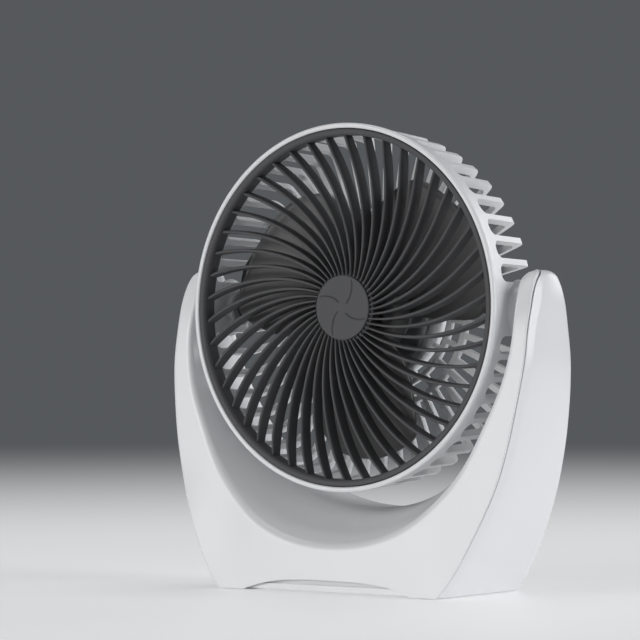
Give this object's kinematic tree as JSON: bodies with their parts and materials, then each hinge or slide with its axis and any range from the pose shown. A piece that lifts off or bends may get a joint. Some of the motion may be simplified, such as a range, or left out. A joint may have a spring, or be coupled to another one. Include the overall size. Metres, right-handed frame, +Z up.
{
  "type": "desk fan",
  "caption": "Small desk fan: round tilting head with swirled front grille and slotted rear basket, held between the arms of a yoke base with a rear button and USB inlet.",
  "frame": {"origin": "centre of the base footprint, on the table plane under the feet", "axes": "+Z up, the fan blows towards -Y, +X is the right-hand arm seen from the front"},
  "size_m": [0.1826, 0.0624, 0.197],
  "materials": {
    "shell_white": "satin moulded",
    "grille_dark": "fine satin",
    "blade_grey": "satin",
    "foot_rubber": "matte",
    "screw_steel": "zinc plated",
    "ballast_steel": "cold rolled",
    "motor_steel": "drawn",
    "socket_steel": "nickel plated",
    "black_steel": "black oxide",
    "brass": "sintered",
    "board_green": "solder mask",
    "black_plastic": "moulded",
    "button_grey": "fine matte",
    "washer_grey": "acetal",
    "light_lens": "clear moulded",
    "lead_black": "soft sleeve"
  },
  "bodies": {
    "base": {"base_front_shell": "shell_white", "base_rear_shell": "shell_white", "bottom_cover": "shell_white", "foot_1": "foot_rubber", "foot_2": "foot_rubber", "foot_3": "foot_rubber", "foot_4": "foot_rubber", "cover_screw_1": "screw_steel", "cover_screw_2": "screw_steel", "cover_screw_3": "screw_steel", "cover_screw_4": "screw_steel", "ballast_plate": "ballast_steel", "control_board": "board_green", "board_screw_1": "screw_steel", "board_screw_2": "screw_steel", "usb_socket": "socket_steel", "usb_tongue": "black_plastic", "switch_body": "black_plastic", "power_light": "light_lens", "tilt_pin_right": "shell_white", "tilt_washer_right": "washer_grey", "pin_keeper_right": "washer_grey", "pin_screw_right": "black_steel", "tilt_pin_left": "shell_white", "tilt_washer_left": "washer_grey", "pin_keeper_left": "washer_grey", "pin_screw_left": "black_steel"},
    "button": {"speed_button": "button_grey", "switch_stem": "black_plastic"},
    "head": {"head_basket": "shell_white", "front_grille": "grille_dark", "grille_badge": "grille_dark", "motor_can": "motor_steel", "motor_bush_front": "brass", "motor_bush_rear": "brass", "motor_screw_1": "screw_steel", "motor_screw_2": "screw_steel", "motor_screw_3": "screw_steel", "rear_cap": "shell_white", "motor_lead": "lead_black"},
    "rotor": {"impeller": "blade_grey", "motor_shaft": "motor_steel"}
  },
  "joints": [
    {"name": "head_tilt", "type": "hinge", "parent": "base", "child": "head", "pos_m": [0, 0.0018, 0.119], "axis": [1, 0, 0], "range_deg": [-88.5, 21.5]},
    {"name": "fan_spin", "type": "hinge", "parent": "head", "child": "rotor", "pos_m": [0, 0.0018, 0.119], "axis": [0, -0.9997, 0.0262], "continuous": true},
    {"name": "button_press", "type": "slide", "parent": "base", "child": "button", "axis": [0, -1, 0], "range_m": [0, 0.0008], "stiffness_N_per_m": 1500, "springref_m": -0.0006}
  ]
}
